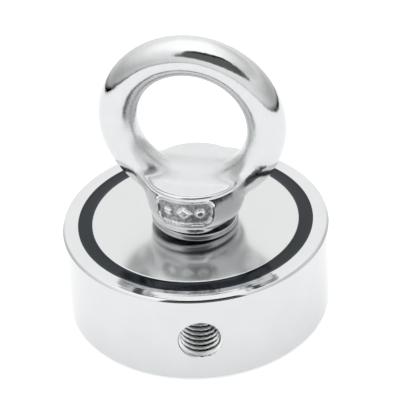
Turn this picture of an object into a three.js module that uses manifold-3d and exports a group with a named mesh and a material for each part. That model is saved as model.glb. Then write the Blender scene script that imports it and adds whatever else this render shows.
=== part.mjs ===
// Double-sided fishing magnet: a steel pot with a potted ring magnet in each face, a blind
// side thread, and a lifting eye bolt screwed into the middle over a spring washer.
// Units are millimetres, +Z is up, and the bottom face stands on Z = 0.
// The side thread opens towards -Y.

import * as THREE from 'three';
import { mergeVertices } from 'three/addons/utils/BufferGeometryUtils.js';
import Module from 'manifold-3d';

// ---- Driving dimensions ----

const POT_RADIUS = 24;
const POT_HEIGHT = 17.5;
const POT_CHAMFER = 0.4;
const RIM_WIDTH = 2.85; // steel wall around each magnet
const RESIN_WIDTH = 2.4; // potting between the wall and the magnet

const MAGNET_THICKNESS = 3;
const MAGNET_BORE_RADIUS = 5;
const MAGNET_EDGE = 0.25; // chamfer on the magnet's exposed edges
const GLUE_THICKNESS = 0.3;
const CLEARANCE = 0.06; // between pieces that touch on the real object

const THREAD_PITCH_RADIUS = 3.594; // M8 coarse
const THREAD_GAP = 0.15; // each thread stands this far off the pitch radius
const MOUTH_CHAMFER = 0.35; // lead-in at the mouth of a threaded hole
const SIDE_HOLE_DEPTH = 13;
const DRILL_POINT_ANGLE = THREE.MathUtils.degToRad(59);

const COLLAR_LIFT = 2.35; // collar's seat above the magnet's face
const COLLAR_HEIGHT = 8.35;
const COLLAR_SEAT_RADIUS = 8.3;
const COLLAR_WAIST_RADIUS = 8.65; // top of the bottom chamfer
const COLLAR_WAIST_LIFT = 1.1; // height of the bottom chamfer
const COLLAR_TOP_RADIUS = 9;
const COLLAR_ROUNDING = 0.9;

const EYE_CENTRE_LIFT = 20.5; // above the magnet's face
const EYE_RADIUS = 13.15; // to the middle of the bar
const EYE_BAR_RADIUS = 3.45;
const CASTING_OFFSET = 0.35; // the cast collar and eye stand a little off the thread's axis
const EYE_TURN = THREE.MathUtils.degToRad(-12.8);

const SHANK_LENGTH = 14.5;
const SHANK_POINT = 0.9; // chamfer at the shank's end

const LABEL_WIDTH = 10.4; // blank recessed panel on the collar
const LABEL_HEIGHT = 4.3;
const LABEL_CORNER = 1.7;
const LABEL_SHIFT = -0.35; // panel's middle from the collar's own axis
const LABEL_LIFT = 4.6; // panel's middle above the collar's seat
const LABEL_DEPTH = 0.35;

const WASHER_OUTER_RADIUS = 7.8;
const WASHER_INNER_RADIUS = 4.25;
const WASHER_THICKNESS = 1.2;
const WASHER_EDGE = 0.25;
const WASHER_SPLIT_ANGLE = THREE.MathUtils.degToRad(85); // middle of the split
const WASHER_SPLIT_WIDTH = THREE.MathUtils.degToRad(12);
const WASHER_STEPS = 60;

const ROUND_SEGMENTS = 96;
const INNER_SEGMENTS = 72;
const BORE_SEGMENTS = 32;
const EYE_BAR_SEGMENTS = 20;
const ARC_STEPS = 4;

// ---- Sizes worked out from them ----

const RECESS_RADIUS = POT_RADIUS - RIM_WIDTH;
const MAGNET_RADIUS = RECESS_RADIUS - RESIN_WIDTH;
const RECESS_DEPTH = MAGNET_THICKNESS + GLUE_THICKNESS + 2 * CLEARANCE;
const SEAT_HEIGHT = POT_HEIGHT + COLLAR_LIFT;
const COLLAR_TOP = SEAT_HEIGHT + COLLAR_HEIGHT;
const BORE_RADIUS = THREAD_PITCH_RADIUS + THREAD_GAP;
const SHANK_RADIUS = THREAD_PITCH_RADIUS - THREAD_GAP;
const WASHER_RISE = COLLAR_LIFT - WASHER_THICKNESS - 2 * CLEARANCE;

// ---- Materials ----

function metal(color, roughness) {
  return new THREE.MeshStandardMaterial({ color, roughness, metalness: 1 });
}

const polishedNickel = metal(0xe4e6e8, 0.08);
const satinNickel = metal(0xd9dbdb, 0.3);
const castSteel = metal(0xdddfe0, 0.14);
const springSteel = metal(0x9da1a4, 0.25);
const pottingResin = new THREE.MeshStandardMaterial({ color: 0x181c26, roughness: 0.25, metalness: 0 });
const glue = new THREE.MeshStandardMaterial({ color: 0xc8bd96, roughness: 0.6, metalness: 0 });

// ---- Solids ----

const wasm = await Module();
wasm.setup();

// A closed BufferGeometry becomes a Manifold solid.
function solidOf(geometry) {
  const bare = geometry.clone();
  bare.deleteAttribute('normal');
  bare.deleteAttribute('uv');
  const merged = mergeVertices(bare);
  const corners = merged.index.array;
  const triangles = [];
  for (let i = 0; i < corners.length; i += 3) {
    const [a, b, c] = [corners[i], corners[i + 1], corners[i + 2]];
    if (a !== b && b !== c && c !== a) triangles.push(a, b, c);
  }
  return new wasm.Manifold(new wasm.Mesh({
    numProp: 3,
    vertProperties: new Float32Array(merged.attributes.position.array),
    triVerts: new Uint32Array(triangles),
  }));
}

function geometryOf(solid) {
  const { vertProperties, triVerts } = solid.getMesh();
  const geometry = new THREE.BufferGeometry();
  geometry.setAttribute('position', new THREE.BufferAttribute(new Float32Array(vertProperties), 3));
  geometry.setIndex(new THREE.BufferAttribute(new Uint32Array(triVerts), 1));
  geometry.computeVertexNormals();
  return geometry;
}

// A solid of revolution about +Z from [radius, height] corners, counterclockwise. An outline
// that doesn't start on the axis is closed on its first corner.
function turned(outline, segments) {
  const corners = outline[0][0] === 0 ? outline : [...outline, outline[0]];
  const points = corners.map(([radius, height]) => new THREE.Vector2(radius, height));
  return new THREE.LatheGeometry(points, segments).rotateX(Math.PI / 2);
}

// Points on an arc in the outline's plane, from angle to angle in degrees.
function arc(radius, height, bend, from, to) {
  return Array.from({ length: ARC_STEPS + 1 }, (_, step) => {
    const angle = THREE.MathUtils.degToRad(from + ((to - from) * step) / ARC_STEPS);
    return [radius + bend * Math.cos(angle), height + bend * Math.sin(angle)];
  });
}

function ring(inner, outer, low, high, segments) {
  return turned([[inner, low], [outer, low], [outer, high], [inner, high]], segments);
}

// ---- Sub-parts ----

// The pot: a thick disc with a recess in each face, a bore through the web and a blind side bore.
function housing() {
  const web = { low: RECESS_DEPTH, high: POT_HEIGHT - RECESS_DEPTH };
  const inset = POT_RADIUS - POT_CHAMFER;
  const mouth = BORE_RADIUS + MOUTH_CHAMFER;
  const body = solidOf(turned([
    [BORE_RADIUS, web.low + MOUTH_CHAMFER],
    [mouth, web.low],
    [RECESS_RADIUS, web.low],
    [RECESS_RADIUS, 0],
    [inset, 0],
    [POT_RADIUS, POT_CHAMFER],
    [POT_RADIUS, POT_HEIGHT - POT_CHAMFER],
    [inset, POT_HEIGHT],
    [RECESS_RADIUS, POT_HEIGHT],
    [RECESS_RADIUS, web.high],
    [mouth, web.high],
    [BORE_RADIUS, web.high - MOUTH_CHAMFER],
  ], ROUND_SEGMENTS));

  const floor = POT_RADIUS - SIDE_HOLE_DEPTH;
  const tip = floor - BORE_RADIUS / Math.tan(DRILL_POINT_ANGLE);
  const outside = POT_RADIUS + 1;
  const drill = turned([
    [0, tip],
    [BORE_RADIUS, floor],
    [BORE_RADIUS, POT_RADIUS - MOUTH_CHAMFER],
    [mouth, POT_RADIUS],
    [mouth, outside],
    [0, outside],
  ], BORE_SEGMENTS);
  drill.rotateX(Math.PI / 2).translate(0, 0, POT_HEIGHT / 2);
  return geometryOf(body.subtract(solidOf(drill)));
}

// A ring magnet lying on Z = 0, its exposed face up.
function magnet() {
  return turned([
    [MAGNET_BORE_RADIUS, 0],
    [MAGNET_RADIUS - CLEARANCE, 0],
    [MAGNET_RADIUS - CLEARANCE, MAGNET_THICKNESS - MAGNET_EDGE],
    [MAGNET_RADIUS - CLEARANCE - MAGNET_EDGE, MAGNET_THICKNESS],
    [MAGNET_BORE_RADIUS + MAGNET_EDGE, MAGNET_THICKNESS],
    [MAGNET_BORE_RADIUS, MAGNET_THICKNESS - MAGNET_EDGE],
  ], ROUND_SEGMENTS);
}

// Potting that fills the channel around a magnet, from the recess floor to just under the face.
function resinRing() {
  const height = RECESS_DEPTH - 2 * CLEARANCE;
  return ring(MAGNET_RADIUS + CLEARANCE, RECESS_RADIUS - CLEARANCE, 0, height, ROUND_SEGMENTS);
}

function glueBed() {
  return ring(MAGNET_BORE_RADIUS + 1, MAGNET_RADIUS - 1, 0, GLUE_THICKNESS, INNER_SEGMENTS);
}

// One left-hand turn of bevelled flat bar, standing on Z = 0. The bar is extruded straight, with
// X its width and Y its thickness, then bent clockwise and upwards from its low end. Half
// squeezed, it lies nearly flat at both ends and climbs most in between.
function springWasher() {
  const middle = (WASHER_OUTER_RADIUS + WASHER_INNER_RADIUS) / 2;
  const x = (WASHER_OUTER_RADIUS - WASHER_INNER_RADIUS) / 2;
  const y = WASHER_THICKNESS;
  const section = new THREE.Shape([
    [-x + WASHER_EDGE, 0], [x - WASHER_EDGE, 0], [x, WASHER_EDGE], [x, y - WASHER_EDGE],
    [x - WASHER_EDGE, y], [-x + WASHER_EDGE, y], [-x, y - WASHER_EDGE], [-x, WASHER_EDGE],
  ].map(([px, py]) => new THREE.Vector2(px, py)));
  const bar = new THREE.ExtrudeGeometry(section, {
    depth: 1, steps: WASHER_STEPS, bevelEnabled: false,
  });

  const lowEnd = WASHER_SPLIT_ANGLE - WASHER_SPLIT_WIDTH / 2;
  const sweep = 2 * Math.PI - WASHER_SPLIT_WIDTH;
  const corners = bar.attributes.position;
  for (let i = 0; i < corners.count; i += 1) {
    const along = corners.getZ(i);
    const radius = middle + corners.getX(i);
    const angle = lowEnd - sweep * along;
    const height = corners.getY(i) + WASHER_RISE * THREE.MathUtils.smoothstep(along, 0, 1);
    corners.setXYZ(i, radius * Math.cos(angle), radius * Math.sin(angle), height);
  }
  bar.computeVertexNormals();
  return bar;
}

// The collar's outline, from its seat up, shrunk all round by an inset.
function collarOutline(inset) {
  return [
    [0, 0],
    [COLLAR_SEAT_RADIUS - inset, 0],
    [COLLAR_WAIST_RADIUS - inset, COLLAR_WAIST_LIFT],
    ...arc(COLLAR_TOP_RADIUS - COLLAR_ROUNDING - inset, COLLAR_HEIGHT - COLLAR_ROUNDING,
      COLLAR_ROUNDING, 0, 90),
    [0, COLLAR_HEIGHT],
  ];
}

// A tool that sinks a rounded panel into the collar's wall, facing -Y.
function labelCutter() {
  const w = LABEL_WIDTH / 2;
  const h = LABEL_HEIGHT / 2;
  const panel = new THREE.Shape();
  panel.moveTo(-w + LABEL_CORNER, -h);
  panel.lineTo(w - LABEL_CORNER, -h);
  panel.absarc(w - LABEL_CORNER, -h + LABEL_CORNER, LABEL_CORNER, -Math.PI / 2, 0);
  panel.absarc(w - LABEL_CORNER, h - LABEL_CORNER, LABEL_CORNER, 0, Math.PI / 2);
  panel.absarc(-w + LABEL_CORNER, h - LABEL_CORNER, LABEL_CORNER, Math.PI / 2, Math.PI);
  panel.absarc(-w + LABEL_CORNER, -h + LABEL_CORNER, LABEL_CORNER, Math.PI, 1.5 * Math.PI);
  const prism = new THREE.ExtrudeGeometry(panel, {
    depth: 2 * COLLAR_TOP_RADIUS, bevelEnabled: false, curveSegments: ARC_STEPS,
  });
  prism.rotateX(Math.PI / 2).translate(LABEL_SHIFT, 0, LABEL_LIFT);
  const core = turned(collarOutline(LABEL_DEPTH), INNER_SEGMENTS);
  return solidOf(prism).subtract(solidOf(core));
}

// The eye bolt, its seat on Z = 0: collar, eye and shank in one casting.
function eyeBolt() {
  const collar = solidOf(turned(collarOutline(0), INNER_SEGMENTS)).subtract(labelCutter());
  const eye = new THREE.TorusGeometry(EYE_RADIUS, EYE_BAR_RADIUS, EYE_BAR_SEGMENTS, INNER_SEGMENTS);
  eye.rotateX(Math.PI / 2).translate(0, 0, EYE_CENTRE_LIFT - COLLAR_LIFT);
  const casting = collar.add(solidOf(eye)).translate([CASTING_OFFSET, 0, 0]);
  const shank = turned([
    [0, -SHANK_LENGTH],
    [SHANK_RADIUS - SHANK_POINT, -SHANK_LENGTH],
    [SHANK_RADIUS, -SHANK_LENGTH + SHANK_POINT],
    [SHANK_RADIUS, 1],
    [0, 1],
  ], BORE_SEGMENTS);
  return geometryOf(casting.add(solidOf(shank)));
}

// ---- Assembly ----

const assembly = new THREE.Group();

function place(name, geometry, material, height, parent = assembly) {
  const mesh = new THREE.Mesh(geometry, material);
  mesh.name = name;
  mesh.position.z = height;
  parent.add(mesh);
  return mesh;
}

// One face's magnet, potting and glue, standing on the recess floor at the group's Z = 0.
function faceStack(prefix) {
  const stack = new THREE.Group();
  place(`${prefix}_adhesive`, glueBed(), glue, CLEARANCE, stack);
  place(`${prefix}_magnet`, magnet(), satinNickel, GLUE_THICKNESS + 2 * CLEARANCE, stack);
  place(`${prefix}_resin_ring`, resinRing(), pottingResin, CLEARANCE, stack);
  assembly.add(stack);
  return stack;
}

place('housing', housing(), polishedNickel, 0);
faceStack('top').position.z = POT_HEIGHT - RECESS_DEPTH;
const bottomStack = faceStack('bottom');
bottomStack.rotation.x = Math.PI;
bottomStack.position.z = RECESS_DEPTH;
place('spring_washer', springWasher(), springSteel, POT_HEIGHT + CLEARANCE);
place('eye_bolt', eyeBolt(), castSteel, SEAT_HEIGHT).rotation.z = EYE_TURN;

export default assembly;
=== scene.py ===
"""Looks of the double-sided fishing magnet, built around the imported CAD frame.

Shapes are written in millimetres in the CAD's frame (+Z up, bottom face on Z = 0, side thread
towards -Y) and are scaled to metres when a mesh is made. Finer meshes of the same size replace the
CAD nodes. Only the two adhesive beds, which are hidden inside, keep their CAD meshes.
"""

import math

import bpy
import numpy as np
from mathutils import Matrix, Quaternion, Vector


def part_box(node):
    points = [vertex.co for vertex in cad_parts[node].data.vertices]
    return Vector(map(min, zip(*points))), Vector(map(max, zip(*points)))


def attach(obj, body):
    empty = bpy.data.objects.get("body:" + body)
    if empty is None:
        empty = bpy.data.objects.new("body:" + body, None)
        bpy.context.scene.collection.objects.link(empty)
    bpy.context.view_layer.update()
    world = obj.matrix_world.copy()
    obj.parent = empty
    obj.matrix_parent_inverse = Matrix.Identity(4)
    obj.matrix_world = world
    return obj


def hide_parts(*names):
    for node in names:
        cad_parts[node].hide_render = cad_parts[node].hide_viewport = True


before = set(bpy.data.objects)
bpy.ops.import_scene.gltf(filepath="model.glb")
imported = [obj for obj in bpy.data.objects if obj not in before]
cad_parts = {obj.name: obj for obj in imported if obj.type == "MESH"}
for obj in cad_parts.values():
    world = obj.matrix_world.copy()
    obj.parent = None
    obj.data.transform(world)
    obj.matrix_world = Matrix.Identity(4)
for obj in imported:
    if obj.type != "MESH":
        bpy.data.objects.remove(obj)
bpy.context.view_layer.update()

MM = 0.001

# ---- Sizes read from the frame, in millimetres ----

pot_low, pot_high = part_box("housing")
magnet_low, magnet_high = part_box("top_magnet")
resin_low, resin_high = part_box("top_resin_ring")
washer_low, washer_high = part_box("spring_washer")
eye_low, eye_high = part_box("eye_bolt")

CLEARANCE = 0.06  # between pieces that touch on the real object
POT_RADIUS = pot_high.x / MM
POT_HEIGHT = pot_high.z / MM
MAGNET_RADIUS = magnet_high.x / MM
MAGNET_THICKNESS = (magnet_high.z - magnet_low.z) / MM
RECESS_RADIUS = resin_high.x / MM + CLEARANCE
RECESS_DEPTH = POT_HEIGHT - resin_low.z / MM + CLEARANCE
WASHER_RADIUS = washer_high.x / MM
WASHER_LOW = washer_low.z / MM
EYE_TOP = eye_high.z / MM
SHANK_END = eye_low.z / MM

# ---- Sizes the frame doesn't give, repeated from the CAD ----

POT_CHAMFER = 0.4
MAGNET_BORE = 5.0
SIDE_DEPTH = 13.0
SEAT_HEIGHT = 19.85  # underside of the collar
COLLAR_HEIGHT = 8.35
SEAT_RADIUS = 8.3
WAIST_RADIUS = 8.65  # top of the collar's bottom chamfer
WAIST_LIFT = 1.1
COLLAR_RADIUS = 9.0
COLLAR_ROUNDING = 0.9
EYE_BAR = 3.45
EYE_RADIUS = 13.15  # to the middle of the bar
CASTING_OFFSET = 0.35
EYE_TURN = math.radians(-12.8)
LABEL_WIDTH = 10.4
LABEL_HEIGHT = 4.3
LABEL_CORNER = 1.7
LABEL_SHIFT = -0.35
LABEL_LIFT = 4.6
WASHER_INNER = 4.25
WASHER_THICKNESS = 1.2
WASHER_RISE = 1.03
WASHER_SPLIT = math.radians(85)
WASHER_GAP = math.radians(12)

# ---- Shapes finer than the CAD's ----

POT_ROUNDING = 0.07
MAGNET_ROUNDING = 0.28
MENISCUS_STEPS = 12
RESIN_DIP = 0.13  # middle of the potting below the magnet's face
RESIN_CLIMB = 0.09  # potting's rise at its two edges
WASHER_ROUNDING = 0.3
WASHER_STEPS = 240
WASHER_SLANT = math.radians(9)
WASHER_SAG = 0.6  # share of the rise lost again towards the upper end
RING_CENTRE = EYE_TOP - SEAT_HEIGHT - EYE_BAR - EYE_RADIUS  # above the collar's seat
LEG_BLEND = 1.8
SADDLE_BLEND = 3.9
SADDLE_REACH = 5.0
WAIST_BLEND = 0.7
SEAT_ROUNDING = 0.3
FOOT_RELIEF = 1.0  # how far the foot is dressed back on its +X side
TUCK = 0.3  # how far the wall's lower edge is drawn in
TUCK_LIFT = 2.7
LABEL_DEPTH = 0.4
BEAD_HEIGHT = 0.2
BEAD_OFFSET = 0.45
BEAD_WIDTH = 0.25
MARK_HEIGHT = 0.32
LOZENGE_LONG = 2.0
LOZENGE_SHORT = 1.7
PIP_PLACE = 3.15
PIP_RADIUS = 1.15
SHANK_POINT = 0.6
CELL = 0.2

# M8 coarse thread. The inner and outer threads share one helix, so they stay in mesh as the bolt
# turns and rises.
PITCH = 1.25
BOLT_ROOT = 3.2
BORE_CREST = 3.35
THREAD_DEPTH = 0.72
SIDE_MOUTH = 3.9
CENTRE_MOUTH = 4.2
LEAD_IN_DEPTH = 1.1
DRILL_END = POT_RADIUS - SIDE_DEPTH - 2  # tip of the side hole's drill point, from the axis
DRILL_SLOPE = 1.66
ROWS_PER_PITCH = 20
OVERSHOOT = 0.5  # how far a cutting tool stands out of the metal

ROUND_STEPS = 256
BORE_STEPS = 144


# ---- Mesh making ----

def make_object(name, vertices, faces, body, replaced=(), normals=None):
    """A smooth-shaded mesh piece from millimetre points, riding on a body."""
    mesh = bpy.data.meshes.new(name)
    mesh.from_pydata([tuple(co) for co in np.asarray(vertices) * MM], [], faces)
    mesh.validate()
    mesh.shade_smooth()
    piece = bpy.data.objects.new(name, mesh)
    bpy.context.scene.collection.objects.link(piece)
    if normals is not None:
        mesh.normals_split_custom_set_from_vertices([tuple(n) for n in normals])
    if body:
        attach(piece, body)
    if replaced:
        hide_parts(*replaced)
    return piece


def rounded(corners, bend, steps=3):
    """A closed outline with each corner rounded by a short arc, kept inside the corner."""
    points = []
    count = len(corners)
    for i, corner in enumerate(corners):
        here = np.array(corner, float)
        before = np.array(corners[i - 1], float) - here
        after = np.array(corners[(i + 1) % count], float) - here
        reach = min(bend, 0.45 * np.linalg.norm(before), 0.45 * np.linalg.norm(after))
        first = here + before / np.linalg.norm(before) * reach
        last = here + after / np.linalg.norm(after) * reach
        for step in range(steps + 1):
            t = step / steps
            points.append(tuple((1 - t) ** 2 * first + 2 * t * (1 - t) * here + t ** 2 * last))
    return points


def lathe(outline, steps=ROUND_STEPS):
    """Vertices and faces of a closed outline of (radius, height) turned about Z."""
    rows = len(outline)
    angles = np.arange(steps) * 2 * math.pi / steps
    vertices = [(r * math.cos(a), r * math.sin(a), z) for a in angles for r, z in outline]
    faces = []
    for i in range(steps):
        j = (i + 1) % steps
        for k in range(rows):
            m = (k + 1) % rows
            faces.append((i * rows + k, j * rows + k, j * rows + m, i * rows + m))
    return vertices, faces


def thread_wave(theta, z):
    """0 at a thread's root and 1 at its crest, on one right-hand helix about Z."""
    phase = (z / PITCH - theta / (2 * math.pi)) % 1.0
    return np.clip((np.abs(phase - 0.5) * 2 - 0.25) / 0.625, 0, 1)


def rod(low, high, radius_at, steps=BORE_STEPS):
    """A closed rod along Z whose radius is radius_at(theta, z)."""
    rows = int(round((high - low) / PITCH * ROWS_PER_PITCH)) + 1
    z = np.linspace(low, high, rows)
    theta = np.arange(steps) * 2 * math.pi / steps
    tt, zz = np.meshgrid(theta, z)
    rr = radius_at(tt, zz)
    grid = np.stack([rr * np.cos(tt), rr * np.sin(tt), zz], -1).reshape(-1, 3)
    vertices = np.vstack([grid, [[0, 0, low], [0, 0, high]]])
    faces = []
    for k in range(rows - 1):
        for i in range(steps):
            j = (i + 1) % steps
            faces.append((k * steps + i, k * steps + j, (k + 1) * steps + j, (k + 1) * steps + i))
    bottom = rows * steps
    top = (rows - 1) * steps
    for i in range(steps):
        j = (i + 1) % steps
        faces.append((bottom, j, i))
        faces.append((bottom + 1, top + i, top + j))
    return vertices, faces


def cut(piece, vertices, faces):
    """Cuts a closed tool out of a piece."""
    tool = make_object("tool", vertices, faces, None)
    boolean = piece.modifiers.new("cut", "BOOLEAN")
    boolean.operation = "DIFFERENCE"
    boolean.solver = "EXACT"
    boolean.object = tool
    bpy.context.view_layer.update()
    result = piece.evaluated_get(bpy.context.evaluated_depsgraph_get())
    shape = bpy.data.meshes.new_from_object(result)
    piece.modifiers.clear()
    piece.data = shape
    bpy.data.objects.remove(tool)


def shade(piece, sharp_angle, wall_radius=None):
    """Smooth shading with sharp edges. A turned wall of wall_radius gets exact normals."""
    mesh = piece.data
    mesh.shade_smooth()
    mesh.set_sharp_from_angle(angle=math.radians(sharp_angle))
    if wall_radius is None:
        return
    loops = len(mesh.loops)
    normals = np.empty(loops * 3)
    mesh.corner_normals.foreach_get("vector", normals)
    normals = normals.reshape(-1, 3)
    points = np.empty(len(mesh.vertices) * 3)
    mesh.vertices.foreach_get("co", points)
    points = points.reshape(-1, 3)
    corner = np.empty(loops, int)
    mesh.loops.foreach_get("vertex_index", corner)
    at = points[corner]
    radius = np.hypot(at[:, 0], at[:, 1])
    facing = np.zeros(loops)
    for face in mesh.polygons:
        span = slice(face.loop_start, face.loop_start + face.loop_total)
        facing[span] = abs(face.normal.z)
    on_wall = (np.abs(radius / MM - wall_radius) < 0.01) & (facing < 0.02)
    normals[on_wall, 0] = at[on_wall, 0] / radius[on_wall]
    normals[on_wall, 1] = at[on_wall, 1] / radius[on_wall]
    normals[on_wall, 2] = 0
    mesh.normals_split_custom_set([tuple(n) for n in normals])


def isosurface(field, low, high, cell):
    """Surface of field(points) = 0 as evenly spread quads, negative inside."""
    counts = [int(math.ceil((b - a) / cell)) + 1 for a, b in zip(low, high)]
    axes = [a + cell * np.arange(n) for a, n in zip(low, counts)]
    nodes = np.stack(np.meshgrid(*axes, indexing="ij"), -1)
    value = field(nodes.reshape(-1, 3)).reshape(counts)
    inside = value < 0
    corners = [(i, j, k) for i in (0, 1) for j in (0, 1) for k in (0, 1)]

    def window(grid, corner):
        return grid[tuple(slice(c, n - 1 + c) for c, n in zip(corner, counts))]

    held = sum(window(inside, c).astype(np.int8) for c in corners)
    active = (held > 0) & (held < 8)
    cells = np.argwhere(active)
    index = np.full(active.shape, -1)
    index[active] = np.arange(len(cells))

    total = np.zeros((len(cells), 3))
    hits = np.zeros(len(cells))
    for a in corners:
        for axis in range(3):
            if a[axis]:
                continue
            b = tuple(c + (n == axis) for n, c in enumerate(a))
            va = window(value, a)[active]
            vb = window(value, b)[active]
            crossed = (va < 0) != (vb < 0)
            t = np.where(crossed, va / np.where(crossed, va - vb, 1), 0)
            spot = cells + np.array(a) + t[:, None] * (np.array(b) - np.array(a))
            total[crossed] += spot[crossed]
            hits[crossed] += 1
    vertices = np.array(low) + cell * total / hits[:, None]

    quads = []
    for axis in range(3):
        u, v = [(axis + 1) % 3, (axis + 2) % 3]
        lower = [slice(None)] * 3
        upper = [slice(None)] * 3
        lower[axis] = slice(0, -1)
        upper[axis] = slice(1, None)
        flips = inside[tuple(lower)] != inside[tuple(upper)]
        spots = np.argwhere(flips)
        rising = inside[tuple(lower)][flips]
        ring = []
        for du, dv in ((-1, -1), (0, -1), (0, 0), (-1, 0)):
            near = spots.copy()
            near[:, u] += du
            near[:, v] += dv
            ring.append(index[tuple(near.T)])
        ring = np.stack(ring, 1)
        quads.append(np.where(rising[:, None], ring, ring[:, ::-1]))
    quads = np.vstack(quads)

    pairs = np.vstack([quads[:, [i, (i + 1) % 4]] for i in range(4)])
    for _ in range(3):
        spread = np.zeros_like(vertices)
        degree = np.zeros(len(vertices))
        np.add.at(spread, pairs[:, 0], vertices[pairs[:, 1]])
        np.add.at(degree, pairs[:, 0], 1)
        vertices = 0.5 * vertices + 0.5 * spread / degree[:, None]
        vertices, normals = settle(field, vertices)
    return vertices, quads.tolist(), normals


def settle(field, points, rounds=3):
    """Moves points onto field = 0 and returns them with the field's unit slope there."""
    step = 0.01
    for _ in range(rounds):
        sides = [(points + step * e, points - step * e) for e in np.eye(3)]
        slope = np.stack([field(ahead) - field(behind) for ahead, behind in sides], 1)
        slope /= 2 * step
        size = (slope ** 2).sum(1, keepdims=True)
        points = points - field(points)[:, None] * slope / size
    return points, slope / np.sqrt(size)


def smooth_min(a, b, blend):
    """The lesser of two fields, rounded over where they are within blend of one another."""
    reach = np.maximum(blend - np.abs(a - b), 0) / blend
    return np.minimum(a, b) - reach ** 2 * blend / 4


def smooth_max(a, b, blend):
    return -smooth_min(-a, -b, blend)


def soft_min(a, b, blend):
    """Like smooth_min, but its curvature is smooth too, so that no line shows in a reflection."""
    reach = np.maximum(blend - np.abs(a - b), 0) / blend
    return np.minimum(a, b) - reach ** 3 * blend / 6


def ramp(value, low, high):
    """0 below low and 1 above high, with a smooth step between."""
    t = np.clip((value - low) / (high - low), 0, 1)
    return t * t * (3 - 2 * t)


# ---- Pot ----

def housing():
    floor = RECESS_DEPTH
    ceiling = POT_HEIGHT - RECESS_DEPTH
    inset = POT_RADIUS - POT_CHAMFER
    outline = rounded([
        (1.0, floor),
        (RECESS_RADIUS, floor),
        (RECESS_RADIUS, 0),
        (inset, 0),
        (POT_RADIUS, POT_CHAMFER),
        (POT_RADIUS, POT_HEIGHT - POT_CHAMFER),
        (inset, POT_HEIGHT),
        (RECESS_RADIUS, POT_HEIGHT),
        (RECESS_RADIUS, ceiling),
        (1.0, ceiling),
    ], POT_ROUNDING)
    piece = make_object("pot", *lathe(outline), "magnet_body", ["housing"])

    def centre_bore(theta, z):
        thread = BORE_CREST + THREAD_DEPTH * thread_wave(theta, z)
        lead = CENTRE_MOUTH - np.minimum(z - floor, ceiling - z)
        return np.minimum(np.maximum(thread, lead), CENTRE_MOUTH)

    def side_bore(theta, z):
        thread = BORE_CREST + THREAD_DEPTH * thread_wave(theta, z)
        thread = np.where(z < POT_RADIUS - SIDE_DEPTH + PITCH, BORE_CREST, thread)
        lead = SIDE_MOUTH - (POT_RADIUS - z) * 0.5
        drill_point = (z - DRILL_END) * DRILL_SLOPE
        return np.minimum(np.maximum(thread, lead), np.maximum(drill_point, 0.02))

    cut(piece, *rod(floor - OVERSHOOT, ceiling + OVERSHOOT, centre_bore))
    vertices, faces = rod(DRILL_END, POT_RADIUS + OVERSHOOT, side_bore)
    # Lay the tool along -Y: (x, y, z) becomes (x, -z, y).
    turned = np.stack([vertices[:, 0], -vertices[:, 2], vertices[:, 1] + POT_HEIGHT / 2], 1)
    cut(piece, turned, faces)
    shade(piece, 35, POT_RADIUS)
    return piece


def finish_pot(piece, plating, thread):
    """Bright plating outside, and the thread's own finish on its crests and lead-in."""
    dress(piece, plating)
    piece.data.materials.append(thread)
    slack = 0.02
    for face in piece.data.polygons:
        place = face.center / MM
        from_axis = math.hypot(place.x, place.y)
        from_side_axis = math.hypot(place.x, place.z - POT_HEIGHT / 2)
        crests = from_side_axis < SIDE_MOUTH - 0.35 and place.y < 2 - DRILL_END
        lead_in = from_side_axis < SIDE_MOUTH + slack and place.y < LEAD_IN_DEPTH - POT_RADIUS
        outward = (face.normal.x * place.x + face.normal.y * place.y) / from_axis
        in_side_hole = (crests or lead_in) and outward <= 0.9
        if in_side_hole or from_axis < CENTRE_MOUTH + slack:
            face.material_index = 1


# ---- Magnets, resin and washer ----

def flipped(vertices, faces):
    """The same solid for the bottom face."""
    turned = np.array(vertices) * (1, -1, -1) + (0, 0, POT_HEIGHT)
    return turned, faces


def magnet_outline():
    top = POT_HEIGHT
    low = top - MAGNET_THICKNESS
    return rounded([
        (MAGNET_BORE, low),
        (MAGNET_RADIUS, low),
        (MAGNET_RADIUS, top),
        (MAGNET_BORE, top),
    ], MAGNET_ROUNDING, 6)


def resin_outline():
    """Potting with a shallow meniscus between the pot's wall and the magnet."""
    low = POT_HEIGHT - RECESS_DEPTH + 0.05
    inner = MAGNET_RADIUS - 0.04
    outer = RECESS_RADIUS - 0.005
    middle = (inner + outer) / 2
    half = (outer - inner) / 2
    points = [(inner, low), (outer, low)]
    for step in range(MENISCUS_STEPS + 1):
        r = outer - (outer - inner) * step / MENISCUS_STEPS
        lift = ((r - middle) / half) ** 4
        points.append((r, POT_HEIGHT - RESIN_DIP + RESIN_CLIMB * lift))
    return points


def spring_washer():
    """One left-hand turn of rounded bar with its two ends cut on a slant."""
    middle = (WASHER_RADIUS + WASHER_INNER) / 2
    half = (WASHER_RADIUS - WASHER_INNER) / 2
    bar = [(-half, 0), (half, 0), (half, WASHER_THICKNESS), (-half, WASHER_THICKNESS)]
    section = rounded(bar, WASHER_ROUNDING, 4)
    vertices = []
    for i in range(WASHER_STEPS + 1):
        along = i / WASHER_STEPS
        climb = ramp(along, 0.3, 0.72) - WASHER_SAG * ramp(along, 0.76, 0.98)
        for x, y in section:
            lean = WASHER_SLANT * (y / WASHER_THICKNESS - 0.5)
            angle = WASHER_SPLIT - WASHER_GAP / 2 + lean - (2 * math.pi - WASHER_GAP) * along
            r = middle + x
            z = WASHER_LOW + y + WASHER_RISE * climb
            vertices.append((r * math.cos(angle), r * math.sin(angle), z))
    count = len(section)
    faces = []
    for i in range(WASHER_STEPS):
        for k in range(count):
            m = (k + 1) % count
            faces.append((i * count + k, i * count + m, (i + 1) * count + m, (i + 1) * count + k))
    faces.append(tuple(range(count - 1, -1, -1)))
    faces.append(tuple(WASHER_STEPS * count + k for k in range(count)))
    return vertices, faces


# ---- Eye bolt ----

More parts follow.
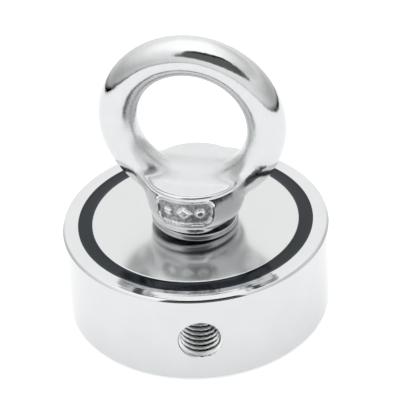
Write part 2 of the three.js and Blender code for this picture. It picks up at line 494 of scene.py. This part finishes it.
def panel_distance(points):
    """Signed distance to the label's rounded panel, measured round the collar's wall."""
    around = np.arctan2(points[:, 0], -points[:, 1]) * COLLAR_RADIUS - LABEL_SHIFT
    across = points[:, 2] - LABEL_LIFT
    dx = np.abs(around) - (LABEL_WIDTH / 2 - LABEL_CORNER)
    dz = np.abs(across) - (LABEL_HEIGHT / 2 - LABEL_CORNER)
    outside = np.hypot(np.maximum(dx, 0), np.maximum(dz, 0))
    return outside + np.minimum(np.maximum(dx, dz), 0) - LABEL_CORNER, around, across


def raised_marks(around, across):
    """A lozenge between two pips, cast proud of the sunk panel."""
    lozenge = np.abs(around) / LOZENGE_LONG + np.abs(across) / LOZENGE_SHORT - 1
    height = ramp(-lozenge, 0, 0.6)
    for side in (-1, 1):
        pip = np.hypot(around - side * PIP_PLACE, across) - PIP_RADIUS
        height = np.maximum(height, ramp(-pip, -0.05, 0.7))
    return height


def label_relief(points):
    """How far the wall is sunk, and where it is recess floor and raised mark, from 0 to 1."""
    panel, around, across = panel_distance(points)
    in_front = ramp(-points[:, 1], 2, 4)
    marks = raised_marks(around, across) * in_front
    floor = ramp(-panel, -0.1, 0.25) * in_front
    bead = np.exp(-((panel - BEAD_OFFSET) / BEAD_WIDTH) ** 2) * in_front
    return LABEL_DEPTH * floor - BEAD_HEIGHT * bead - MARK_HEIGHT * marks, floor, marks


def collar_and_ring(points):
    """Distance fields of the casting's two forms and how far they blend into one another."""
    x, y, z = points[:, 0], points[:, 1], points[:, 2]
    ring = np.hypot(np.hypot(x, z - RING_CENTRE) - EYE_RADIUS, y) - EYE_BAR

    rho = np.hypot(x, y)
    wall_rise = COLLAR_HEIGHT - COLLAR_ROUNDING - WAIST_LIFT
    wall_lean = math.atan2(COLLAR_RADIUS - WAIST_RADIUS, wall_rise)
    wall = (rho - WAIST_RADIUS) * math.cos(wall_lean) - (z - WAIST_LIFT) * math.sin(wall_lean)
    foot_lean = math.atan2(WAIST_RADIUS - SEAT_RADIUS, WAIST_LIFT)
    foot = (rho - SEAT_RADIUS) * math.cos(foot_lean) - z * math.sin(foot_lean)
    flank = np.clip(x / np.maximum(rho, 1), 0, 1)
    foot = foot + FOOT_RELIEF * ramp(flank, 0.25, 0.75) * ramp(WAIST_LIFT - z, -0.3, 0.35)
    wall = wall + TUCK * np.clip((TUCK_LIFT - z) / (TUCK_LIFT - WAIST_LIFT), 0, 1) ** 2
    wall = wall + label_relief(points)[0]

    collar = smooth_max(smooth_max(wall, foot, WAIST_BLEND), z - COLLAR_HEIGHT, COLLAR_ROUNDING)
    collar = smooth_max(collar, -z, SEAT_ROUNDING)
    blend = LEG_BLEND + (SADDLE_BLEND - LEG_BLEND) * np.exp(-(x / SADDLE_REACH) ** 2)
    return collar, ring, blend


def eye_field(points):
    """The casting's distance field, its seat on Z = 0 and its ring in the XZ plane."""
    return soft_min(*collar_and_ring(points))


def crook(points):
    """1 in the bend between ring and collar and 0.5 inside the ring, where polishing is poor."""
    collar, ring, blend = collar_and_ring(points)
    bend = ramp(1 - np.abs(collar - ring) / blend, 0.1, 0.7)
    inward = EYE_RADIUS - np.hypot(points[:, 0], points[:, 2] - RING_CENTRE)
    inside = ramp(inward, 0.1 * EYE_BAR, 0.75 * EYE_BAR) * ramp(collar - ring, 0, 1)
    return np.maximum(bend, 0.5 * inside)


def turn_about_z(points, angle):
    c, s = math.cos(angle), math.sin(angle)
    x, y, z = points[:, 0], points[:, 1], points[:, 2]
    return np.stack([c * x - s * y, s * x + c * y, z], 1)


def eye_bolt():
    reach = EYE_RADIUS + EYE_BAR + 0.5
    low = (-reach, -COLLAR_RADIUS - 0.6, -0.5)
    high = (reach, COLLAR_RADIUS + 0.6, EYE_TOP - SEAT_HEIGHT + 0.5)
    cell = CELL
    vertices, faces, normals = isosurface(eye_field, low, high, cell)
    on_wall = ramp(np.hypot(vertices[:, 0], vertices[:, 1]), 7.5, 8)
    recess, mark = label_relief(vertices)[1:]
    masks = {"recess": recess * on_wall, "mark": mark * on_wall, "crook": crook(vertices)}
    vertices = turn_about_z(vertices + (CASTING_OFFSET, 0, SEAT_HEIGHT), EYE_TURN)
    normals = turn_about_z(normals, EYE_TURN)
    casting = make_object("lifting_eye", vertices, faces, "lifting_eye", ["eye_bolt"], normals)
    for name, value in masks.items():
        casting.data.attributes.new(name, "FLOAT", "POINT").data.foreach_set("value", value)

    def shank(theta, z):
        thread = BOLT_ROOT + THREAD_DEPTH * thread_wave(theta, z)
        point = BOLT_ROOT - SHANK_POINT + (z - SHANK_END)
        return np.maximum(np.minimum(thread, point), 0.5)

    vertices, faces = rod(SHANK_END, SEAT_HEIGHT + 0.05, shank)
    thread = make_object("eye_bolt_thread", vertices, faces, "lifting_eye", ["eye_bolt"])
    shade(thread, 35)
    return casting, thread


# ---- Materials ----

class Look:
    """A Principled material built node by node."""

    def __init__(self, name):
        self.material = bpy.data.materials.new(name)
        self.material.use_nodes = True
        self.tree = self.material.node_tree
        self.tree.nodes.clear()
        self.output = self.add("ShaderNodeOutputMaterial")
        self.shader = self.add("ShaderNodeBsdfPrincipled")
        self.tree.links.new(self.shader.outputs[0], self.output.inputs["Surface"])
        self.place = self.add("ShaderNodeTexCoord").outputs["Object"]

    def add(self, kind, **settings):
        node = self.tree.nodes.new(kind)
        for key, value in settings.items():
            setattr(node, key, value)
        return node

    def set(self, **values):
        for key, value in values.items():
            self.shader.inputs[key.replace("_", " ")].default_value = value

    def put(self, node, inputs):
        """Sets or links a node's inputs, each given by its name or its number."""
        for key, value in inputs.items():
            socket = node.inputs[key]
            if isinstance(value, bpy.types.NodeSocket):
                self.tree.links.new(value, socket)
            else:
                socket.default_value = value
        return node

    def noise(self, scale, detail=3.0, rough=0.5, place=None):
        node = self.add("ShaderNodeTexNoise")
        place = place or self.place
        self.put(node, {"Vector": place, "Scale": scale, "Detail": detail, "Roughness": rough})
        return node.outputs["Fac"]

    def painted(self, name):
        """A mask stored on the mesh's points."""
        return self.add("ShaderNodeAttribute", attribute_name=name).outputs["Fac"]

    def stretch(self, x, y, z):
        node = self.add("ShaderNodeMapping")
        self.put(node, {"Vector": self.place, "Scale": (x, y, z)})
        return node.outputs["Vector"]

    def span(self, source, low, high, to_low, to_high):
        node = self.add("ShaderNodeMapRange")
        self.put(node, {0: source, 1: low, 2: high, 3: to_low, 4: to_high})
        return node.outputs[0]

    def math(self, operation, a, b):
        node = self.add("ShaderNodeMath", operation=operation)
        self.put(node, {0: a, 1: b})
        return node.outputs[0]

    def tint(self, factor, dark, light):
        return self.blend(factor, (*dark, 1), (*light, 1))

    def blend(self, factor, first, second):
        node = self.add("ShaderNodeMix", data_type="RGBA")
        self.put(node, {0: factor, 6: first, 7: second})
        return node.outputs[2]

    def facing_up(self):
        parts = self.add("ShaderNodeSeparateXYZ")
        self.put(parts, {0: self.add("ShaderNodeNewGeometry").outputs["True Normal"]})
        return self.math("ABSOLUTE", parts.outputs["Z"], 0.0)

    def rings(self, per_metre):
        """Turning marks: concentric waves about Z."""
        node = self.add("ShaderNodeTexWave", wave_type="RINGS", rings_direction="Z")
        self.put(node, {"Vector": self.place, "Scale": per_metre / 20, "Distortion": 0.0})
        return node.outputs["Fac"]

    def bump(self, height, strength, distance):
        node = self.add("ShaderNodeBump")
        self.put(node, {"Height": height, "Strength": strength, "Distance": distance})
        return node.outputs["Normal"]

    def finish(self, color=None, roughness=None, normal=None):
        given = {"Base Color": color, "Roughness": roughness, "Normal": normal}
        self.put(self.shader, {key: value for key, value in given.items() if value is not None})
        return self.material


def bright_nickel():
    """Mirror plating over a finely turned rim."""
    look = Look("bright_nickel")
    look.set(Metallic=1.0)
    cloud = look.noise(180, 4)
    fine = look.noise(2600, 2)
    turning = look.rings(9000)
    rim = look.span(look.facing_up(), 0.9, 0.98, 0, 1)
    color = look.tint(cloud, (0.625, 0.64, 0.645), (0.68, 0.69, 0.695))
    smooth = look.span(cloud, 0.35, 0.75, 0.02, 0.05)
    rough = look.math("ADD", smooth, look.math("MULTIPLY", rim, 0.03))
    lathe_marks = look.math("MULTIPLY", turning, rim)
    height = look.math("ADD", look.math("MULTIPLY", fine, 0.05), lathe_marks)
    return look.finish(color, rough, look.bump(height, 0.25, 0.00002))


def satin_nickel():
    """Barrel-plated magnet: softly blurred reflections and a very fine grain."""
    look = Look("satin_nickel")
    look.set(Metallic=1.0)
    cloud = look.noise(260, 5, 0.6)
    grain = look.noise(5200, 3, 0.6)
    color = look.tint(cloud, (0.62, 0.63, 0.63), (0.655, 0.665, 0.665))
    smooth = look.span(cloud, 0.3, 0.7, 0.15, 0.18)
    rough = look.math("ADD", smooth, look.span(grain, 0.3, 0.7, 0, 0.03))
    return look.finish(color, rough, look.bump(grain, 0.06, 0.00002))


def potting_resin():
    """Black resin with a little dust settled in it."""
    look = Look("potting_resin")
    look.set(IOR=1.38, Specular_Tint=(0.8, 0.93, 1, 1))
    cloud = look.noise(350, 4)
    dust = look.noise(3800, 2, 0.7)
    color = look.tint(cloud, (0.0008, 0.0022, 0.0045), (0.0018, 0.0045, 0.009))
    smooth = look.span(cloud, 0.3, 0.7, 0.06, 0.12)
    rough = look.math("ADD", smooth, look.span(dust, 0.6, 0.75, 0, 0.12))
    return look.finish(color, rough, look.bump(cloud, 0.2, 0.0001))


def cured_adhesive():
    """Straw-coloured two-part adhesive."""
    look = Look("cured_adhesive")
    cloud = look.noise(500, 4)
    color = look.tint(cloud, (0.42, 0.36, 0.22), (0.58, 0.53, 0.38))
    return look.finish(color, look.span(cloud, 0.3, 0.7, 0.35, 0.6), look.bump(cloud, 0.3, 0.0001))


def spring_steel():
    """Plated spring wire with drawing marks."""
    look = Look("spring_steel")
    look.set(Metallic=1.0)
    cloud = look.noise(700, 4)
    grain = look.noise(4000, 3, 0.6, look.stretch(1, 1, 5))
    color = look.tint(cloud, (0.42, 0.43, 0.44), (0.6, 0.61, 0.62))
    smooth = look.span(cloud, 0.3, 0.7, 0.12, 0.22)
    rough = look.math("ADD", smooth, look.span(grain, 0.4, 0.7, 0, 0.08))
    return look.finish(color, rough, look.bump(grain, 0.2, 0.00004))


def polished_casting():
    """Polished over a cast surface, duller in the crook and left as cast in the sunk label."""
    look = Look("polished_casting")
    look.set(Metallic=1.0)
    recess = look.painted("recess")
    mark = look.painted("mark")
    bend = look.painted("crook")
    wave = look.noise(230, 2, 0.4)
    cloud = look.noise(700, 5, 0.6)
    grain = look.noise(4200, 4, 0.65)
    strokes = look.noise(700, 3, 0.55, look.stretch(1, 1, 0.3))
    polished = look.tint(cloud, (0.605, 0.615, 0.62), (0.685, 0.695, 0.7))
    speckle = look.span(look.noise(1700, 3, 0.6), 0.35, 0.65, 0, 1)
    cast = look.tint(speckle, (0.22, 0.23, 0.235), (0.62, 0.64, 0.65))
    rubbed = look.tint(grain, (0.86, 0.87, 0.87), (0.97, 0.97, 0.97))
    color = look.blend(recess, polished, look.blend(mark, cast, rubbed))
    buffed = look.span(cloud, 0.3, 0.7, 0.06, 0.14)
    smooth = look.math("ADD", buffed, look.span(grain, 0.5, 0.8, 0, 0.1))
    sunk = look.math("SUBTRACT", recess, look.math("MULTIPLY", mark, 0.8))
    dull = look.math("ADD", look.math("MULTIPLY", sunk, 0.26), look.math("MULTIPLY", bend, 0.3))
    rough = look.math("ADD", smooth, dull)
    pits = look.math("MULTIPLY", grain, look.span(recess, 0, 1, 0.05, 0.75))
    stroke_depth = look.span(bend, 0, 1, 0.5, 1.2)
    brushed = look.math("ADD", wave, look.math("MULTIPLY", strokes, stroke_depth))
    return look.finish(color, rough, look.bump(look.math("ADD", brushed, pits), 0.3, 0.0002))


def cut_thread():
    """Tapped or rolled thread: duller than the faces round it."""
    look = Look("cut_thread")
    look.set(Metallic=1.0)
    cloud = look.noise(900, 4)
    color = look.tint(cloud, (0.7, 0.71, 0.71), (0.82, 0.82, 0.83))
    return look.finish(color, look.span(cloud, 0.3, 0.7, 0.3, 0.38), look.bump(cloud, 0.1, 0.00005))


def studio_floor():
    """Matt white, and clear from beneath so that the bottom face can be seen."""
    look = Look("studio_floor")
    cloud = look.noise(6, 2)
    color = look.tint(cloud, (0.675, 0.677, 0.68), (0.685, 0.687, 0.69))
    look.set(Roughness=0.9, Specular_IOR_Level=0.2)
    look.set(Emission_Color=(1, 1, 1, 1), Emission_Strength=0.55)
    look.finish(color, None, look.bump(cloud, 0.05, 0.001))
    underside = look.add("ShaderNodeNewGeometry").outputs["Backfacing"]
    clear = look.add("ShaderNodeBsdfTransparent").outputs[0]
    mix = look.add("ShaderNodeMixShader")
    either = look.put(mix, {0: underside, 1: look.shader.outputs[0], 2: clear})
    look.tree.links.new(either.outputs[0], look.output.inputs["Surface"])
    return look.material


def dress(piece, material):
    piece.data.materials.clear()
    piece.data.materials.append(material)


# ---- Pieces ----

nickel = bright_nickel()
satin = satin_nickel()
resin = potting_resin()

finish_pot(housing(), nickel, cut_thread())

for side in ("top", "bottom"):
    disc = lathe(magnet_outline())
    channel = lathe(resin_outline())
    if side == "bottom":
        disc = flipped(*disc)
        channel = flipped(*channel)
    magnet = make_object(f"{side}_magnet_disc", *disc, "magnet_body", [f"{side}_magnet"])
    shade(magnet, 40)
    dress(magnet, satin)
    potting = make_object(f"{side}_potting", *channel, "magnet_body", [f"{side}_resin_ring"])
    shade(potting, 40)
    dress(potting, resin)
    dress(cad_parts[f"{side}_adhesive"], cured_adhesive())

washer = make_object("split_washer", *spring_washer(), "lock_washer", ["spring_washer"])
shade(washer, 50)
dress(washer, spring_steel())

casting, thread = eye_bolt()
dress(casting, polished_casting())
dress(thread, cut_thread())


# ---- Stage, light and camera ----

FLOOR_RADIUS = 0.24
FLOOR_GAP = 0.00005
BACKDROP = 1.2  # brightness of the room where the camera sees it past the floor
STUDIO_BRIGHTNESS = 1.5
OVERHEAD_BRIGHTNESS = 1.9
RIGHT_SHADE = 0.4
PATCH_AZIMUTH = math.radians(3)
PATCH_WIDTH = math.radians(76)
PATCH_HEIGHT = math.radians(39)
PATCH_TALL = math.radians(44)
PATCH_DEPTH = (0.885, 0.985)  # how much light it takes away, low down and high up
CAMERA_AZIMUTH = math.radians(0.89)
CAMERA_HEIGHT = math.radians(35.26)
CAMERA_ROLL = math.radians(-3.21)
CAMERA_DISTANCE = 280.3
CAMERA_TARGET = (1.02, 0, 21.35)
CAMERA_LENS = 141.1


def floor():
    """A round pale table top."""
    steps = 96
    angles = [2 * math.pi * i / steps for i in range(steps)]
    rim = [(FLOOR_RADIUS * math.cos(a), FLOOR_RADIUS * math.sin(a), -FLOOR_GAP) for a in angles]
    mesh = bpy.data.meshes.new("floor")
    mesh.from_pydata(rim, [], [tuple(range(steps))])
    plane = bpy.data.objects.new("floor", mesh)
    bpy.context.scene.collection.objects.link(plane)
    mesh.materials.append(studio_floor())


class Sky:
    """Small helper for the world's node tree."""

    def __init__(self):
        world = bpy.data.worlds.new("studio")
        bpy.context.scene.world = world
        world.use_nodes = True
        self.tree = world.node_tree
        self.tree.nodes.clear()

    def add(self, kind, inputs=(), **settings):
        node = self.tree.nodes.new(kind)
        for key, value in settings.items():
            setattr(node, key, value)
        for socket, value in zip(node.inputs, inputs):
            if isinstance(value, bpy.types.NodeSocket):
                self.tree.links.new(value, socket)
            else:
                socket.default_value = value
        return node

    def math(self, operation, a, b=0.0):
        return self.add("ShaderNodeMath", (a, b), operation=operation).outputs[0]

    def smooth(self, value, low, high, to_low, to_high):
        """A smooth step of value from to_low at low to to_high at high."""
        inputs = (value, low, high, to_low, to_high)
        return self.add("ShaderNodeMapRange", inputs, interpolation_type="SMOOTHSTEP").outputs[0]

    def by_height(self, height, low, high, to_low, to_high):
        """The same, with its two limits in degrees above the horizon."""
        return self.smooth(height, math.radians(low), math.radians(high), to_low, to_high)

    def without(self, share):
        return self.math("SUBTRACT", 1.0, share)


def dark_patch(sky, azimuth, height):
    """Where the photographer stands: a rounded dark oblong, as the share of light it takes away."""
    across = sky.math("DIVIDE", sky.math("SUBTRACT", azimuth, PATCH_AZIMUTH), PATCH_WIDTH / 2)
    above = sky.math("DIVIDE", sky.math("SUBTRACT", height, PATCH_HEIGHT), PATCH_TALL / 2)
    reach = sky.math("ADD", sky.math("POWER", sky.math("ABSOLUTE", across), 4.0),
                     sky.math("POWER", sky.math("ABSOLUTE", above), 4.0))
    patch = sky.smooth(reach, 0.75, 1.3, 1, 0)
    return sky.math("MULTIPLY", patch, sky.by_height(height, 46, 54, *PATCH_DEPTH))


def grey_walls(sky, x, height):
    """Side walls and a faint band round the horizon, as the share of light they take away."""
    sideways = sky.math("POWER", sky.math("ABSOLUTE", x), 2.0)
    low_wall = sky.by_height(height, -11, -3, 0.5, 0)
    high_wall = sky.by_height(height, 8, 50, 0.45, 0)
    side_wall = sky.math("MULTIPLY", sky.math("ADD", low_wall, high_wall), sideways)
    skirting = sky.by_height(height, -11, -3, 0.3, 0.1)
    haze = sky.math("MULTIPLY", skirting, sky.by_height(height, 5, 24, 1, 0))
    return sky.math("ADD", side_wall, haze)


def lamps(sky, x, height):
    """The studio's brightness, greatest overhead and shaded high up on the right."""
    overhead = sky.by_height(height, 35, 65, STUDIO_BRIGHTNESS, OVERHEAD_BRIGHTNESS)
    raised = sky.by_height(height, 22, 34, 0, 1)
    shade_right = sky.math("MULTIPLY", sky.smooth(x, 0.15, 0.6, 0, RIGHT_SHADE), raised)
    return sky.math("SUBTRACT", overhead, shade_right)


def studio_world():
    """A bright studio round the object, and a plain white one behind it where the camera looks."""
    sky = Sky()
    direction = sky.add("ShaderNodeTexCoord").outputs["Generated"]
    x, y, z = sky.add("ShaderNodeSeparateXYZ", (direction,)).outputs
    azimuth = sky.math("ARCTAN2", x, sky.math("MULTIPLY", y, -1.0))
    height = sky.math("ARCSINE", z)

    bright = sky.math("MULTIPLY", sky.without(grey_walls(sky, x, height)), lamps(sky, x, height))
    shine = sky.math("MULTIPLY", bright, sky.without(dark_patch(sky, azimuth, height)))
    seen = sky.add("ShaderNodeLightPath").outputs["Is Camera Ray"]
    strength = sky.math("ADD", sky.math("MULTIPLY", shine, sky.without(seen)),
                        sky.math("MULTIPLY", seen, BACKDROP))
    background = sky.add("ShaderNodeBackground")
    sky.tree.links.new(strength, background.inputs["Strength"])
    output = sky.add("ShaderNodeOutputWorld")
    sky.tree.links.new(background.outputs[0], output.inputs["Surface"])


def camera():
    """The camera, placed by azimuth, height, roll and distance about a point near the axis."""
    target = Vector(CAMERA_TARGET) * MM
    away = Vector((
        math.sin(CAMERA_AZIMUTH) * math.cos(CAMERA_HEIGHT),
        -math.cos(CAMERA_AZIMUTH) * math.cos(CAMERA_HEIGHT),
        math.sin(CAMERA_HEIGHT),
    ))
    data = bpy.data.cameras.new("camera")
    data.sensor_width = 36
    data.lens = CAMERA_LENS
    data.clip_start = 0.01
    view = bpy.data.objects.new("camera", data)
    bpy.context.scene.collection.objects.link(view)
    view.location = target + away * CAMERA_DISTANCE * MM
    roll = Quaternion((0, 0, 1), CAMERA_ROLL)
    view.rotation_mode = "QUATERNION"
    view.rotation_quaternion = (-away).to_track_quat("-Z", "Y") @ roll
    bpy.context.scene.camera = view


floor()
studio_world()
camera()
bpy.context.scene.view_settings.view_transform = "Standard"
